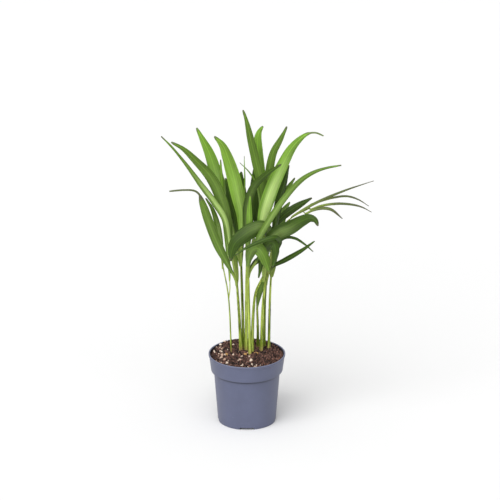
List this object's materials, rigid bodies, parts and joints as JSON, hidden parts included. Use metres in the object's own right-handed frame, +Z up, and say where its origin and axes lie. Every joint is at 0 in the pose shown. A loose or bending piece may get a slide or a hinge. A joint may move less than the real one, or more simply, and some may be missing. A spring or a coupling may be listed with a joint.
{
  "type": "potted palm",
  "caption": "Young feather palm with slim green canes and long folded strap leaves, growing in soil in a stepped round grower's pot; stands as a decorative houseplant.",
  "frame": {"origin": "centre of the pot's underside, on the surface that the pot stands on", "axes": "+Z up through the pot's axis, -Y towards the front, +X to the right seen from the front"},
  "size_m": [0.3286, 0.1523, 0.5111],
  "materials": {
    "pot_plastic": "satin blue-grey moulded plastic",
    "potting_soil": "rough dark peat with white grains and bark",
    "cane_green": "smooth yellow-green living shoot",
    "leaf_green": "soft sheen living leaf",
    "leaf_bright": "soft sheen living leaf, light green",
    "seed_husk": "dry tan fibre"
  },
  "bodies": {
    "root": {"pot": "pot_plastic", "soil": "potting_soil", "cane_thin_left": "cane_green", "cane_left_front": "cane_green", "cane_left_back": "cane_green", "cane_centre_back": "cane_green", "cane_centre_front": "cane_green", "cane_leaning": "cane_green", "cane_young": "cane_green", "cane_right_front": "cane_green", "cane_right_back": "cane_green", "cane_far_right": "cane_green", "shoot_thin_left": "cane_green", "stalk_feathered_leaf": "cane_green", "leaf_left_long": "leaf_green", "leaf_left_broad": "leaf_green", "leaf_left_folded": "leaf_green", "leaf_left_narrow": "leaf_green", "leaf_inner_left": "leaf_green", "leaf_inner_dark": "leaf_green", "leaf_tall": "leaf_green", "leaf_right_upright": "leaf_green", "leaf_crossing": "leaf_green", "leaf_centre_tall": "leaf_green", "spear_left": "leaf_green", "spear_right": "leaf_green", "leaf_arching_back": "leaf_green", "leaf_right_short": "leaf_green", "leaf_right_slender": "leaf_green", "leaf_right_dark": "leaf_green", "leaflet_end_long": "leaf_green", "leaflet_end_upper": "leaf_green", "leaflet_end_lower": "leaf_green", "leaflet_end_short": "leaf_green", "leaf_right_hooked": "leaf_green", "leaf_low_curled": "leaf_green", "leaf_low_right": "leaf_green", "leaf_drooping_left": "leaf_green", "leaf_band_left": "leaf_green", "leaf_drooping_right": "leaf_green", "leaf_drooping_front": "leaf_green", "leaf_low_small": "leaf_green", "leaf_young_strap": "leaf_green", "leaf_back_left": "leaf_green", "leaf_back_centre": "leaf_green", "leaf_back_right": "leaf_green", "leaf_back_far_left": "leaf_green", "leaf_back_low": "leaf_green", "leaf_left_upright": "leaf_bright", "leaf_left_inner": "leaf_bright", "leaf_tall_back": "leaf_bright", "leaf_arching": "leaf_bright", "leaf_centre_upright": "leaf_bright", "seed_husk_left": "seed_husk", "seed_husk_middle": "seed_husk", "seed_husk_right": "seed_husk"}
  },
  "joints": []
}
